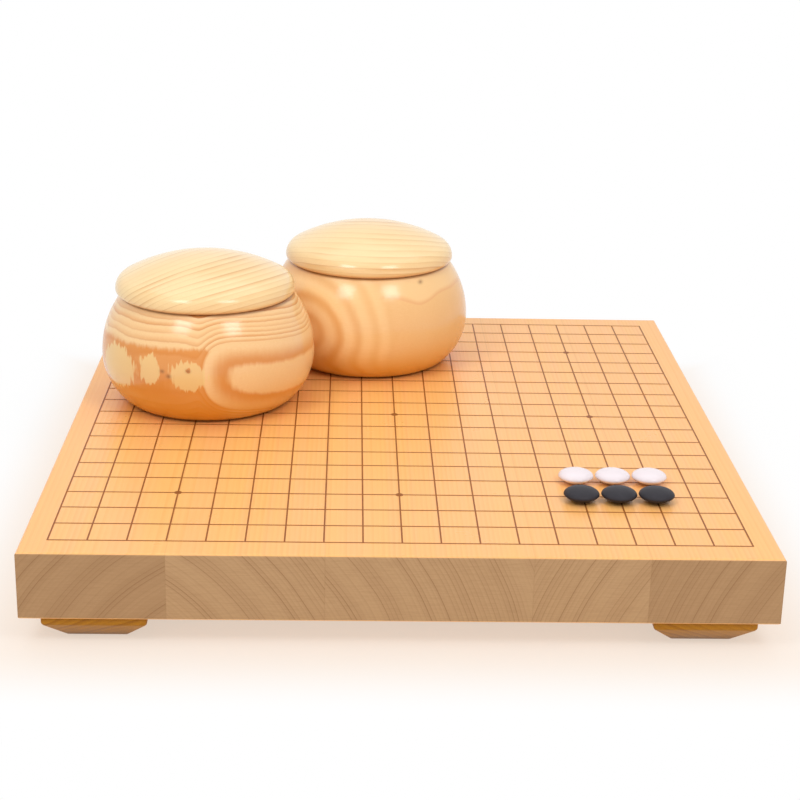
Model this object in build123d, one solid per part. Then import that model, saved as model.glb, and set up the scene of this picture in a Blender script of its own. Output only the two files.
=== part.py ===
from build123d import *

import os
from math import atan2, cos, pi, radians, sin

# Go set: a 40 mm edge-glued board on four low feet, two lidded bowls and their stones.
#
# Millimetres, +Z up, +Y away from the player, +X to the player's right.
# The origin is on the table, under the middle of the board.

# Playing field
LINE_COUNT = 19
COLUMN_SPACING = 22.0
LINE_SPACING = 23.7
LINE_WIDTH = 0.9
LINE_HEIGHT = 0.15
STAR_DIAMETER = 4.6
STAR_SPACING = 6  # in rows or columns, from the middle star

# Board
SIDE_MARGIN = 15.1
END_MARGIN = 18.1
BOARD_THICKNESS = 40.0
TOP_ROUND = 1.5
BOTTOM_CHAMFER = 0.8
PLANK_1_WIDTH = 82.1
PLANK_2_WIDTH = 88.0
PLANK_3_WIDTH = 116.0
PLANK_4_WIDTH = 65.0

# Feet
FOOT_SIDE = 59.0
FOOT_SIDE_SETBACK = 12.0
FOOT_END_SETBACK = 2.0
FOOT_BAND = 4.5
FOOT_TAPER_HEIGHT = 12.0
FOOT_TAPER_INSET = 12.5
FOOT_EDGE_ROUND = 1.2

# Dowels that hold each foot
DOWEL_RADIUS = 5.0
DOWEL_IN_FOOT = 10.0
DOWEL_IN_BOARD = 14.0
DOWEL_END_GAP = 1.0
DOWEL_CHAMFER = 1.0
DOWEL_SPACING = 26.0

# Bowls
BELLY_RADIUS = 72.0
BELLY_HEIGHT = 34.0
BASE_RADIUS = 53.5
MOUTH_RADIUS = 57.4
BOWL_HEIGHT = 74.7
BOWL_WALL = 8.0
BOWL_FLOOR = 8.0
FLOOR_RADIUS = 38.0
BASE_HOLLOW_RADIUS = 44.0
BASE_HOLLOW_DEPTH = 1.5
RIM_ROUND = 1.2
LEFT_BOWL_X = -127.0
LEFT_BOWL_Y = 35.2
BOWL_GAP = 0.5
RIGHT_BOWL_BEARING = 40.6  # degrees, from the left bowl's right

# Lids
LID_RADIUS = 60.4
LID_DOME = 23.0
LID_SHOULDER = 10.5
LID_EDGE = 3.3
LID_WALL = 7.0
SPIGOT_DEPTH = 4.0
SPIGOT_WALL = 5.0
SPIGOT_CLEARANCE = 2.4
LEFT_LID_SHIFT = -1.6
RIGHT_LID_SHIFT = 0.0

# Stones
STONE_RADIUS = 10.4
STONE_THICKNESS = 8.4
STONE_EDGE = 1.4
STONE_GAP = 0.1
FIRST_STONE_X = 108.4
STONE_SIDE_GAP = 1.0
STONES_IN_ROW = 3
WHITE_ROW_Y = -119.3
ROW_GAP = 7.9
STORED_GAP = 1.1

# Worked out
BOARD_WIDTH = (LINE_COUNT - 1) * COLUMN_SPACING + 2 * SIDE_MARGIN
BOARD_DEPTH = (LINE_COUNT - 1) * LINE_SPACING + 2 * END_MARGIN
FOOT_HEIGHT = FOOT_BAND + FOOT_TAPER_HEIGHT
BOARD_TOP = FOOT_HEIGHT + BOARD_THICKNESS
PLAY_TOP = BOARD_TOP + LINE_HEIGHT
FOOT_X = BOARD_WIDTH / 2 - FOOT_SIDE_SETBACK - FOOT_SIDE / 2
FOOT_Y = BOARD_DEPTH / 2 - FOOT_END_SETBACK - FOOT_SIDE / 2
FOOT_PLACES = {
    "front_left": (-FOOT_X, -FOOT_Y),
    "front_right": (FOOT_X, -FOOT_Y),
    "back_left": (-FOOT_X, FOOT_Y),
    "back_right": (FOOT_X, FOOT_Y),
}
MOUTH_INNER_RADIUS = MOUTH_RADIUS - BOWL_WALL
BELLY_INNER_RADIUS = BELLY_RADIUS - BOWL_WALL
SPIGOT_RADIUS = MOUTH_INNER_RADIUS - SPIGOT_CLEARANCE
STONE_REACH = STONE_RADIUS + STONE_EDGE / 4
STONE_SPACING = 2 * STONE_REACH + STONE_SIDE_GAP
BLACK_ROW_Y = WHITE_ROW_Y - 2 * STONE_REACH - ROW_GAP
STORED_SPACING = 2 * STONE_REACH + STORED_GAP
PLANK_WIDTHS = (PLANK_1_WIDTH, PLANK_2_WIDTH, PLANK_3_WIDTH, PLANK_4_WIDTH)
BOWL_SPACING = 2 * BELLY_RADIUS + BOWL_GAP
LEFT_BOWL_PLACE = (LEFT_BOWL_X, LEFT_BOWL_Y)
RIGHT_BOWL_PLACE = (
    LEFT_BOWL_X + BOWL_SPACING * cos(radians(RIGHT_BOWL_BEARING)),
    LEFT_BOWL_Y + BOWL_SPACING * sin(radians(RIGHT_BOWL_BEARING)),
)


def belly_arc(belly: float, end_radius: float, end_height: float) -> tuple:
    """Middle and end points of an arc that leaves the belly upright and ends at a rim."""
    reach = belly - end_radius
    rise = end_height - BELLY_HEIGHT
    radius = (reach * reach + rise * rise) / (2 * reach)
    half_rise = rise / 2
    middle = belly - radius + (radius * radius - half_rise * half_rise) ** 0.5
    return (middle, BELLY_HEIGHT + half_rise), (end_radius, end_height)


def turned(outline: Wire) -> Part:
    """The solid that a closed outline in the XZ plane sweeps round the Z axis."""
    return revolve(make_face(outline), axis=Axis.Z)


def upright(*edges) -> Wire:
    """Edges drawn as (radius, height), stood up in the XZ plane as one wire."""
    return Plane.XZ * Wire(edges)


def bowl() -> Part:
    """One turned bowl, standing on z = 0, with a flat lip for the lid."""
    base_mid, base_end = belly_arc(BELLY_RADIUS, BASE_RADIUS, 0)
    lip_mid, lip_end = belly_arc(BELLY_RADIUS, MOUTH_RADIUS, BOWL_HEIGHT)
    outside = upright(
        Line((0, 0), base_end),
        ThreePointArc(base_end, base_mid, (BELLY_RADIUS, BELLY_HEIGHT)),
        ThreePointArc((BELLY_RADIUS, BELLY_HEIGHT), lip_mid, lip_end),
        Line(lip_end, (0, BOWL_HEIGHT)),
        Line((0, BOWL_HEIGHT), (0, 0)),
    )
    floor_mid, floor_end = belly_arc(BELLY_INNER_RADIUS, FLOOR_RADIUS, BOWL_FLOOR)
    mouth_mid, mouth_end = belly_arc(BELLY_INNER_RADIUS, MOUTH_INNER_RADIUS, BOWL_HEIGHT)
    inside = upright(
        Line((0, BOWL_FLOOR), floor_end),
        ThreePointArc(floor_end, floor_mid, (BELLY_INNER_RADIUS, BELLY_HEIGHT)),
        ThreePointArc((BELLY_INNER_RADIUS, BELLY_HEIGHT), mouth_mid, mouth_end),
        Line(mouth_end, (0, BOWL_HEIGHT)),
        Line((0, BOWL_HEIGHT), (0, BOWL_FLOOR)),
    )
    body = turned(outside) - turned(inside)
    body -= Cylinder(
        BASE_HOLLOW_RADIUS, BASE_HOLLOW_DEPTH, align=(Align.CENTER, Align.CENTER, Align.MIN)
    )
    rims = body.edges().filter_by(GeomType.CIRCLE).group_by(Axis.Z)
    outer_base = rims[0].sort_by(SortBy.LENGTH)[-1]
    return fillet([outer_base, *rims[-1]], RIM_ROUND)


def dome(radius: float, height: float, shoulder: float, base: float) -> list:
    """A low dome's half outline above base, from its upright edge to its middle, as two arcs."""
    reach = radius - shoulder
    crown = (reach * reach + height * height - shoulder * shoulder) / (2 * (height - shoulder))
    centre = base + height - crown
    lean = atan2(reach, base - centre)
    edge = (radius, base)
    join = (crown * sin(lean), centre + crown * cos(lean))
    top = (0, base + height)
    half_turn = (pi / 2 - lean) / 2
    shoulder_middle = (reach + shoulder * cos(half_turn), base + shoulder * sin(half_turn))
    crown_middle = (crown * sin(lean / 2), centre + crown * cos(lean / 2))
    return [ThreePointArc(edge, shoulder_middle, join), ThreePointArc(join, crown_middle, top)]


def lid() -> Part:
    """One turned lid: a low dome with a rounded edge, dished below, seated at z = 0."""
    seat_radius = LID_RADIUS - LID_EDGE
    corner = LID_EDGE * (1 - cos(radians(45)))
    outside = upright(
        Line((0, -SPIGOT_DEPTH), (SPIGOT_RADIUS, -SPIGOT_DEPTH)),
        Line((SPIGOT_RADIUS, -SPIGOT_DEPTH), (SPIGOT_RADIUS, 0)),
        Line((SPIGOT_RADIUS, 0), (seat_radius, 0)),
        ThreePointArc((seat_radius, 0), (LID_RADIUS - corner, corner), (LID_RADIUS, LID_EDGE)),
        *dome(LID_RADIUS, LID_DOME, LID_SHOULDER, LID_EDGE),
        Line((0, LID_EDGE + LID_DOME), (0, -SPIGOT_DEPTH)),
    )
    dish_radius = SPIGOT_RADIUS - SPIGOT_WALL
    dish_top = LID_EDGE + LID_DOME - LID_WALL
    inside = upright(
        Line((0, -SPIGOT_DEPTH), (dish_radius, -SPIGOT_DEPTH)),
        *dome(dish_radius, dish_top + SPIGOT_DEPTH, LID_SHOULDER, -SPIGOT_DEPTH),
        Line((0, dish_top), (0, -SPIGOT_DEPTH)),
    )
    return turned(outside) - turned(inside)


def stone() -> Part:
    """One lens-shaped stone with a narrow edge, lying on z = 0."""
    middle = STONE_THICKNESS / 2
    edge = STONE_EDGE / 2
    cap = middle - edge
    sphere = (STONE_RADIUS * STONE_RADIUS + cap * cap) / (2 * cap)
    half_radius = STONE_RADIUS / 2
    half_drop = sphere - (sphere * sphere - half_radius * half_radius) ** 0.5
    outline = upright(
        ThreePointArc((0, 0), (half_radius, half_drop), (STONE_RADIUS, cap)),
        ThreePointArc(
            (STONE_RADIUS, cap),
            (STONE_RADIUS + edge / 2, middle),
            (STONE_RADIUS, STONE_THICKNESS - cap),
        ),
        ThreePointArc(
            (STONE_RADIUS, STONE_THICKNESS - cap),
            (half_radius, STONE_THICKNESS - half_drop),
            (0, STONE_THICKNESS),
        ),
        Line((0, STONE_THICKNESS), (0, 0)),
    )
    return turned(outline)


def stored_stones(place: tuple) -> Compound:
    """The stones kept in one bowl: six round one, flat on its floor."""
    one = stone()
    height = PLAY_TOP + BOWL_FLOOR + STONE_GAP
    copies = [Pos(place[0], place[1], height) * one]
    for step in range(6):
        angle = radians(60 * step)
        x = place[0] + STORED_SPACING * cos(angle)
        y = place[1] + STORED_SPACING * sin(angle)
        copies.append(Pos(x, y, height) * one)
    return Compound(children=copies)


def slab() -> Part:
    """The whole board as one slab, with its worn round top edges and lower chamfer."""
    block = Pos(0, 0, FOOT_HEIGHT) * Box(
        BOARD_WIDTH, BOARD_DEPTH, BOARD_THICKNESS, align=(Align.CENTER, Align.CENTER, Align.MIN)
    )
    block = fillet(block.edges().group_by(Axis.Z)[-1], TOP_ROUND)
    return chamfer(block.edges().group_by(Axis.Z)[0], BOTTOM_CHAMFER)


def dowel_places() -> list:
    """Middles of all dowels, two under each foot, in line from front to back."""
    places = []
    for x, y in FOOT_PLACES.values():
        for side in (-1, 1):
            places.append((x, y + side * DOWEL_SPACING / 2))
    return places


def dowel_bores() -> list:
    """The bores for the dowels, through the feet and into the board."""
    length = DOWEL_IN_FOOT + DOWEL_IN_BOARD + 2 * DOWEL_END_GAP
    bottom = FOOT_HEIGHT - DOWEL_IN_FOOT - DOWEL_END_GAP
    bore = Cylinder(DOWEL_RADIUS, length, align=(Align.CENTER, Align.CENTER, Align.MIN))
    return [Pos(x, y, bottom) * bore for x, y in dowel_places()]


def foot_dowels() -> Compound:
    """Eight dowels with chamfered ends, half in the feet and half in the board."""
    length = DOWEL_IN_FOOT + DOWEL_IN_BOARD
    pin = Cylinder(DOWEL_RADIUS, length, align=(Align.CENTER, Align.CENTER, Align.MIN))
    pin = chamfer(pin.edges().filter_by(GeomType.CIRCLE), DOWEL_CHAMFER)
    bottom = FOOT_HEIGHT - DOWEL_IN_FOOT
    return Compound(children=[Pos(x, y, bottom) * pin for x, y in dowel_places()])


def planks() -> dict:
    """The slab cut at its glue seams into planks that run from front to back."""
    board = slab() - dowel_bores()
    last_width = BOARD_WIDTH - sum(PLANK_WIDTHS)
    left = -BOARD_WIDTH / 2
    pieces = {}
    for number, width in enumerate((*PLANK_WIDTHS, last_width), start=1):
        cutter = Pos(left, 0, FOOT_HEIGHT) * Box(
            width, BOARD_DEPTH, BOARD_THICKNESS, align=(Align.MIN, Align.CENTER, Align.MIN)
        )
        pieces[f"board_plank_{number}"] = board & cutter
        left += width
    return pieces


def foot(place: tuple) -> Part:
    """One low foot: a square band above a blunt four-sided taper."""
    small_side = FOOT_SIDE - 2 * FOOT_TAPER_INSET
    lower = loft(
        [
            Rectangle(small_side, small_side),
            Pos(0, 0, FOOT_TAPER_HEIGHT) * Rectangle(FOOT_SIDE, FOOT_SIDE),
        ]
    )
    band = Pos(0, 0, FOOT_TAPER_HEIGHT) * Box(
        FOOT_SIDE, FOOT_SIDE, FOOT_BAND, align=(Align.CENTER, Align.CENTER, Align.MIN)
    )
    body = lower + band
    body = fillet(body.edges().group_by(Axis.Z)[0], FOOT_EDGE_ROUND)
    return Pos(place[0], place[1], 0) * body - dowel_bores()


def grid_lines() -> Part:
    """The lacquered playing field: 19 lines each way and nine star points, in one film."""
    width = (LINE_COUNT - 1) * COLUMN_SPACING + LINE_WIDTH
    depth = (LINE_COUNT - 1) * LINE_SPACING + LINE_WIDTH
    cell = Rectangle(COLUMN_SPACING - LINE_WIDTH, LINE_SPACING - LINE_WIDTH)
    cells = GridLocations(COLUMN_SPACING, LINE_SPACING, LINE_COUNT - 1, LINE_COUNT - 1)
    field = Rectangle(width, depth) - [place * cell for place in cells]
    stars = GridLocations(STAR_SPACING * COLUMN_SPACING, STAR_SPACING * LINE_SPACING, 3, 3)
    field += [place * Circle(STAR_DIAMETER / 2) for place in stars]
    return Pos(0, 0, BOARD_TOP) * extrude(field, LINE_HEIGHT)


def set_pieces() -> dict:
    """Every piece of the set by its name, each in its place."""
    pieces = planks()
    pieces["grid_lines"] = grid_lines()
    for corner, place in FOOT_PLACES.items():
        pieces[f"foot_{corner}"] = foot(place)
    pieces["foot_dowels"] = foot_dowels()
    bowls = {
        "left": (LEFT_BOWL_PLACE, LEFT_LID_SHIFT, "black"),
        "right": (RIGHT_BOWL_PLACE, RIGHT_LID_SHIFT, "white"),
    }
    for side, (place, lid_shift, colour) in bowls.items():
        pieces[f"bowl_{side}"] = Pos(*place, PLAY_TOP) * bowl()
        pieces[f"lid_{side}"] = Pos(place[0] + lid_shift, place[1], PLAY_TOP + BOWL_HEIGHT) * lid()
        pieces[f"{colour}_stones_in_bowl"] = stored_stones(place)
    rows = {"white": WHITE_ROW_Y, "black": BLACK_ROW_Y}
    for colour, y in rows.items():
        for number in range(STONES_IN_ROW):
            x = FIRST_STONE_X + number * STONE_SPACING
            pieces[f"{colour}_stone_{number + 1}"] = Pos(x, y, PLAY_TOP + STONE_GAP) * stone()
    return pieces


def main() -> None:
    """Write one STEP file for each piece."""
    os.makedirs("parts", exist_ok=True)
    for name, shape in set_pieces().items():
        export_step(shape, f"parts/{name}.step")


if __name__ == "__main__":
    main()
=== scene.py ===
# The looks of the go set: an edge-glued board on four low feet, two turned bowls with
# their lids, and lens-shaped stones. Lengths are metres, apart from the figures of the
# turned wood, which are millimetres from the middle of a piece's underside.

import logging
from dataclasses import dataclass, field
from enum import Enum
from math import asin, atan2, cos, pi, radians, sin

import bmesh
import bpy
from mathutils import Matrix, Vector


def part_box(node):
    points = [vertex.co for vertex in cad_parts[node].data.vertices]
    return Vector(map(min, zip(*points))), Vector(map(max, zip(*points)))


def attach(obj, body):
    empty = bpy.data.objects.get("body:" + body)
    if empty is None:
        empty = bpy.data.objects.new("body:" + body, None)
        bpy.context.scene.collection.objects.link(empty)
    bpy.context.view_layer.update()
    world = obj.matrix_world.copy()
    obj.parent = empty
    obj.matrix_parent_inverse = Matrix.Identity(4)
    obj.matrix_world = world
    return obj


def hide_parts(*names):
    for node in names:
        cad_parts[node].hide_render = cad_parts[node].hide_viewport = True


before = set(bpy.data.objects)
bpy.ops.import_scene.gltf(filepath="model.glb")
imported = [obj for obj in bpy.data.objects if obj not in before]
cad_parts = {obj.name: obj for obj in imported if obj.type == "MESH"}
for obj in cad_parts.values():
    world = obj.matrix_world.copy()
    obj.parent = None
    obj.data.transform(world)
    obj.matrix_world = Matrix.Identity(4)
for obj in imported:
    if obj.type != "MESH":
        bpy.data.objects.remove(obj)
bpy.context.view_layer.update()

MM = 0.001
LOG = logging.getLogger("go_set")

Triple = tuple[float, float, float]
Colour = Triple
Outline = list[tuple[float, float]]
Socket = bpy.types.NodeSocket
Feed = Socket | float | tuple


class Side(Enum):
    """Which of the two bowls a piece belongs to."""

    LEFT = "left"
    RIGHT = "right"


class StoneColour(Enum):
    """The two colours of stone."""

    BLACK = "black"
    WHITE = "white"


# ---------------------------------------------------------------- shader helpers

NATURAL_BASE = 2.718
MIX_COLOUR_SOCKETS = (0, 6, 7)  # the share and the two colours of a Mix node
AROUND_ZERO = 0.5  # what a noise takes off to swing to both sides


def linear(colour: Colour) -> tuple[float, float, float, float]:
    """Turn a screen's red, green and blue, 0 to 255, into the linear colour that shaders mix."""
    parts = [value / 255 for value in colour]
    return tuple(p / 12.92 if p <= 0.04045 else ((p + 0.055) / 1.055) ** 2.4 for p in parts) + (1.0,)


def metres(values: Triple) -> Triple:
    """Turn three millimetres into metres."""
    return tuple(value * MM for value in values)


class Nodes:
    """Adds and links the nodes of one material, world or node group."""

    def __init__(self, tree: bpy.types.NodeTree) -> None:
        """Keep the tree that the nodes go into."""
        self.tree = tree

    def add(self, kind: str, *values: Feed, **settings: object) -> bpy.types.Node:
        """Add one node, set its plain properties and feed its first inputs.

        Args:
            kind: The node's type name after ShaderNode, such as Math.
            values: What its first inputs take, in order.
            settings: Properties of the node by name.

        Returns:
            The new node.
        """
        node = self.tree.nodes.new(f"ShaderNode{kind}")
        for name, value in settings.items():
            setattr(node, name, value)
        for socket, value in zip(node.inputs, values):
            self.feed(socket, value)
        return node

    def feed(self, socket: Socket, value: Feed) -> None:
        """Link a socket, or set it where the value is a plain number or colour.

        Args:
            socket: The input.
            value: What it takes.
        """
        if isinstance(value, bpy.types.NodeSocket):
            self.tree.links.new(value, socket)
        else:
            socket.default_value = value

    def fill(self, node: bpy.types.Node, **inputs: Feed) -> None:
        """Feed a node's inputs by name, with _ for a space."""
        for name, value in inputs.items():
            self.feed(node.inputs[name.replace("_", " ")], value)

    def math(self, operation: str, *values: Feed, clamp: bool = False) -> Socket:
        """The result of one math node on its values in order."""
        return self.add("Math", *values, operation=operation, use_clamp=clamp).outputs[0]

    def times(self, first: Feed, second: Feed) -> Socket:
        """One value times another."""
        return self.math("MULTIPLY", first, second)

    def plus(self, first: Feed, second: Feed) -> Socket:
        """The sum of two values."""
        return self.math("ADD", first, second)

    def minus(self, first: Feed, second: Feed) -> Socket:
        """One value less another."""
        return self.math("SUBTRACT", first, second)

    def vector(self, operation: str, *values: Feed) -> Socket:
        """The result of one vector math node, which is a value for a length or a dot product."""
        node = self.add("VectorMath", *values, operation=operation)
        return node.outputs["Value" if operation in ("LENGTH", "DOT_PRODUCT") else "Vector"]

    def stretched(self, vector: Feed, factors: Triple) -> Socket:
        """A vector with each of its parts times a factor."""
        return self.vector("MULTIPLY", vector, factors)

    def axes(self, vector: Feed) -> tuple[Socket, Socket, Socket]:
        """A vector's X, Y and Z."""
        return tuple(self.add("SeparateXYZ", vector).outputs)

    def smooth(
        self, value: Feed, low: Feed, high: Feed, bottom: Feed = 0.0, top: Feed = 1.0
    ) -> Socket:
        """A soft step of value from bottom at low to top at high."""
        span = (value, low, high, bottom, top)
        return self.add("MapRange", *span, interpolation_type="SMOOTHSTEP").outputs[0]

    def noise(
        self, vector: Feed, scale: Feed, detail: float, rough: float, result: str = "Fac"
    ) -> Socket:
        """A 3-D noise, read at a vector.

        Args:
            vector: Where to read it.
            scale: Its scale, in cells to the metre for a vector in metres.
            detail: How many finer layers it has.
            rough: How strong the finer layers are.
            result: Which of its outputs is wanted, Fac or Color.

        Returns:
            The output.
        """
        node = self.add("TexNoise")
        self.fill(node, Vector=vector, Scale=scale, Detail=detail, Roughness=rough)
        return node.outputs[result]

    def swing(self, vector: Feed, scale: Feed, detail: float, rough: float) -> Socket:
        """A 3-D noise that swings to both sides of zero."""
        return self.minus(self.noise(vector, scale, detail, rough), AROUND_ZERO)

    def mix(self, share: Feed, below: Feed, above: Feed) -> Socket:
        """A mix of two colours.

        Args:
            share: How much of the second colour shows.
            below: The first colour.
            above: The second colour.

        Returns:
            The mixed colour.
        """
        node = self.add("Mix", data_type="RGBA")
        for number, value in zip(MIX_COLOUR_SOCKETS, (share, below, above)):
            self.feed(node.inputs[number], value)
        return node.outputs[2]

    def tint(self, below: Feed, mask: Feed, share: Feed, colour: Colour) -> Socket:
        """Lay a screen colour over the colour below, by a share of a mask."""
        return self.mix(self.times(mask, share), below, linear(colour))

    def bump(self, height: Feed, depth: float) -> Socket:
        """A normal from a height between 0 and 1, over a depth in metres."""
        node = self.add("Bump")
        self.fill(node, Strength=1.0, Distance=depth, Height=height)
        return node.outputs[0]

    def use(self, group: bpy.types.NodeTree, **inputs: Feed) -> bpy.types.NodeOutputs:
        """Place a node group, feed its inputs by name and give its outputs."""
        node = self.add("Group", node_tree=group)
        self.fill(node, **inputs)
        return node.outputs

    def lengthways(self, place: Socket, shift: Triple) -> Socket:
        """A place shifted and turned so that a trunk from front to back runs along Z."""
        node = self.add("Mapping")
        self.fill(node, Vector=place, Rotation=(pi / 2, 0.0, 0.0), Location=shift)
        return node.outputs[0]


def new_group(
    name: str, vectors: tuple[str, ...], values: tuple[str, ...], results: tuple[str, ...]
) -> tuple[Nodes, bpy.types.NodeOutputs, bpy.types.Node]:
    """Start a node group with named sockets.

    Args:
        name: The group's name.
        vectors: The names of its vector inputs.
        values: The names of its inputs that are numbers.
        results: The names of its outputs, which are numbers.

    Returns:
        The group's nodes, the sockets that it is given and its output node.
    """
    tree = bpy.data.node_groups.new(name, "ShaderNodeTree")
    sockets = [(label, "INPUT", "NodeSocketVector") for label in vectors]
    sockets += [(label, "INPUT", "NodeSocketFloat") for label in values]
    sockets += [(label, "OUTPUT", "NodeSocketFloat") for label in results]
    for label, way, kind in sockets:
        tree.interface.new_socket(name=label, in_out=way, socket_type=kind)
    given = tree.nodes.new("NodeGroupInput")
    return Nodes(tree), given.outputs, tree.nodes.new("NodeGroupOutput")


@dataclass(frozen=True)
class RingShape:
    """The course of one growth ring, as shares of its width, and the streaks in the wood."""

    late_start: float = 0.15
    edge_rise: tuple[float, float] = (0.7, 0.86)
    edge_fall: tuple[float, float] = (0.88, 1.0)
    core_blur: float = 0.8 * MM
    faintest: float = 0.3
    along: float = 0.16
    streaks: Triple = (70.0, 70.0, 460.0)
    strip_pace: float = 0.23
    strip_span: tuple[float, float] = (0.32, 0.68)
    fibre_along: float = 0.02
    fibre_scale: float = 1400.0
    fibre_span: tuple[float, float] = (0.3, 0.72)


def growth_rings(shape: RingShape = RingShape()) -> bpy.types.NodeTree:
    """Growth rings round a trunk.

    Place is a point with the trunk along its Z axis, and Section is the same point as seen
    on the trunk's end, where the rings are circles round the origin. Within Core Radius of
    it, the rings are Core Width wide. Late wood is darkest at the share Turn of each ring.

    Args:
        shape: The course of each ring.

    Returns:
        A group that gives Late, the dark late wood of each ring, Edge, the thin line at its
        end, Strip, a broad change of tone across the rings, and Fibre, the fine streaks
        along the trunk.
    """
    nodes, take, out = new_group(
        "growth_rings",
        ("Place", "Section"),
        ("Ring Width", "Core Width", "Core Radius", "Sense", "Waver", "Waver Scale", "Ragged",
         "Swell", "Turn"),
        ("Late", "Edge", "Strip", "Fibre"),
    )
    drawn_out = nodes.stretched(take["Place"], (1.0, 1.0, shape.along))
    wander = nodes.noise(drawn_out, take["Waver Scale"], 2.0, 0.5, "Color")
    centred = nodes.vector("SUBTRACT", wander, (AROUND_ZERO, AROUND_ZERO, AROUND_ZERO))
    shift = nodes.vector("MULTIPLY", centred, take["Waver"])
    moved = nodes.vector("ADD", take["Section"], shift)
    reach = nodes.vector("LENGTH", nodes.stretched(moved, (1.0, 1.0, 0.0)))
    beyond = nodes.minus(reach, take["Core Radius"])
    outer = nodes.math("DIVIDE", beyond, take["Ring Width"])
    inner = nodes.math("DIVIDE", beyond, take["Core Width"])
    count = nodes.times(nodes.math("MAXIMUM", outer, inner), take["Sense"])
    rag = nodes.swing(nodes.stretched(take["Place"], shape.streaks), 1.0, 2.0, 0.5)
    count = nodes.plus(nodes.plus(count, take["Swell"]), nodes.times(rag, take["Ragged"]))
    within = nodes.math("FRACT", count)
    each = nodes.add("TexWhiteNoise", noise_dimensions="1D")
    nodes.fill(each, W=nodes.math("FLOOR", count))
    weight = nodes.smooth(each.outputs["Value"], 0.0, 1.0, shape.faintest, 1.0)
    rise = nodes.smooth(within, shape.late_start, take["Turn"])
    fall = nodes.smooth(within, take["Turn"], 1.0, 1.0, 0.0)
    thin = nodes.times(
        nodes.smooth(within, *shape.edge_rise), nodes.smooth(within, *shape.edge_fall, 1.0, 0.0)
    )
    thin = nodes.times(thin, nodes.smooth(beyond, -shape.core_blur, shape.core_blur))
    broad = nodes.add("TexNoise", noise_dimensions="1D")
    nodes.fill(broad, W=nodes.times(count, shape.strip_pace), Scale=1.0, Detail=2.0)
    bent = nodes.vector("ADD", take["Place"], shift)
    threads = nodes.stretched(bent, (1.0, 1.0, shape.fibre_along))
    fibre = nodes.noise(threads, shape.fibre_scale, 3.0, 0.6)
    nodes.fill(
        out,
        Late=nodes.times(nodes.times(rise, fall), weight),
        Edge=nodes.times(thin, weight),
        Strip=nodes.smooth(broad.outputs["Fac"], *shape.strip_span),
        Fibre=nodes.smooth(fibre, *shape.fibre_span),
    )
    return nodes.tree


def swelling() -> bpy.types.NodeTree:
    """A round swelling of the rings, as about a knot, that fades out with distance.

    Returns:
        A group that gives Value, the rings to add, and Core, 1 at the middle.
    """
    inputs = ("Vector", "Middle", "Reach")
    nodes, take, out = new_group("swelling", inputs, ("Rings",), ("Value", "Core"))
    away = nodes.vector("SUBTRACT", take["Vector"], take["Middle"])
    share = nodes.vector("DIVIDE", away, take["Reach"])
    square = nodes.vector("DOT_PRODUCT", share, share)
    fade = nodes.math("POWER", NATURAL_BASE, nodes.times(square, -1.0))
    nodes.fill(out, Value=nodes.times(fade, take["Rings"]), Core=fade)
    return nodes.tree


def handling() -> bpy.types.NodeTree:
    """Smudges, fine dust and small dents left by handling.

    Returns:
        A group that gives Roughness round a given value, Dust as a mask and Dents as a height.
    """
    smudge_scale, dust_scale, dent_scale = 22.0, 2600.0, 160.0
    dust_span = (0.62, 0.8)
    nodes, take, out = new_group(
        "handling", ("Vector",), ("Roughness", "Smudge"), ("Roughness", "Dust", "Dents")
    )
    place = take["Vector"]
    change = nodes.times(nodes.swing(place, smudge_scale, 4.0, 0.6), take["Smudge"])
    nodes.fill(
        out,
        Roughness=nodes.math("ADD", take["Roughness"], change, clamp=True),
        Dust=nodes.smooth(nodes.noise(place, dust_scale, 1.0, 0.5), *dust_span),
        Dents=nodes.noise(place, dent_scale, 3.0, 0.5),
    )
    return nodes.tree


class Effects:
    """The node groups that several finishes share, each built once."""

    def __init__(self) -> None:
        """Build the groups."""
        self.rings = growth_rings()
        self.swelling = swelling()
        self.handling = handling()


EFFECTS = Effects()


def blank_material(name: str) -> tuple[bpy.types.Material, Nodes, bpy.types.Node, Socket]:
    """Start a material with one surface shader.

    Args:
        name: The material's name.

    Returns:
        The material, its nodes, its surface shader and the place on the object.
    """
    material = bpy.data.materials.new(name)
    material.use_nodes = True
    nodes = Nodes(material.node_tree)
    material.node_tree.nodes.clear()
    surface = nodes.add("BsdfPrincipled")
    nodes.add("OutputMaterial", surface.outputs[0])
    return material, nodes, surface, nodes.add("TexCoord").outputs["Object"]


def ray_is(nodes: Nodes, *kinds: str) -> Socket:
    """Tell rays apart.

    Args:
        nodes: The material's or world's nodes.
        kinds: Kinds of ray, such as Camera.

    Returns:
        1 for a ray of one of these kinds, and 0 for others.
    """
    path = nodes.add("LightPath").outputs
    found = path[f"Is {kinds[0]} Ray"]
    for kind in kinds[1:]:
        found = nodes.math("MAXIMUM", found, path[f"Is {kind} Ray"])
    return found


# ---------------------------------------------------------------- finishes


@dataclass(frozen=True)
class RingLaw:
    """How wide a tree's rings are and how they wander."""

    width: float
    waver: float
    waver_scale: float
    core_radius: float = 0.0
    core_width: float = 1.0
    sense: float = 1.0
    ragged: float = 0.0
    turn: float = 0.87


@dataclass(frozen=True)
class Grain:
    """The masks of one wood: late wood, its thin edge, broad strips and fine fibres."""

    late: Socket
    edge: Socket
    strip: Socket
    fibre: Socket


@dataclass(frozen=True)
class Relief:
    """How much of a depth in metres the fibres, the late wood and the dents take."""

    fibre: float
    late: float
    dents: float
    depth: float

    def normal(self, nodes: Nodes, grain: Grain, dents: Socket) -> Socket:
        """The normal of wood with this relief, from its masks and its dents' height."""
        wood = nodes.plus(nodes.times(grain.fibre, self.fibre), nodes.times(grain.late, self.late))
        return nodes.bump(nodes.plus(wood, nodes.times(dents, self.dents)), self.depth)


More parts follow.
